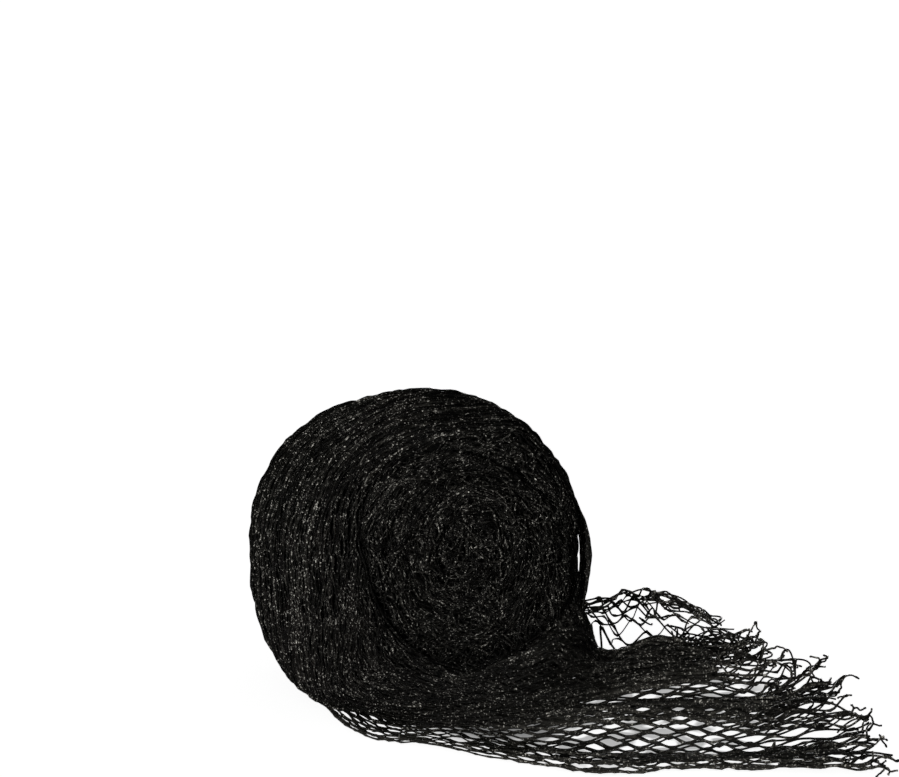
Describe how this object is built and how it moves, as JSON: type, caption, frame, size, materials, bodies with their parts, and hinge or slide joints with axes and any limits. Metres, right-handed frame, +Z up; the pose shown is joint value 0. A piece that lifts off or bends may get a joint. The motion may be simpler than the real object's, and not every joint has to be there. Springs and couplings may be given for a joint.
{
  "type": "roll of pond netting",
  "caption": "Soft wound roll of black knitted diamond-mesh pond netting lying on its side, its loose end fanned out over the floor in low folds up to a cut edge.",
  "frame": {"origin": "on the floor below the roll's axis, in the flat spot on which the roll rests", "axes": "+Y along the roll's axis towards its back end, +X the way the loose end runs out, +Z up"},
  "size_m": [0.4943, 0.4821, 0.2661],
  "materials": {
    "wound_netting": "black knitted polyethylene twine, many turns drawn closed, with fine glossy specks",
    "open_netting": "black knitted polyethylene twine in open diamond meshes, slightly glossy"
  },
  "bodies": {
    "root": {"wound_roll": "wound_netting", "loose_end": "open_netting"}
  },
  "joints": []
}
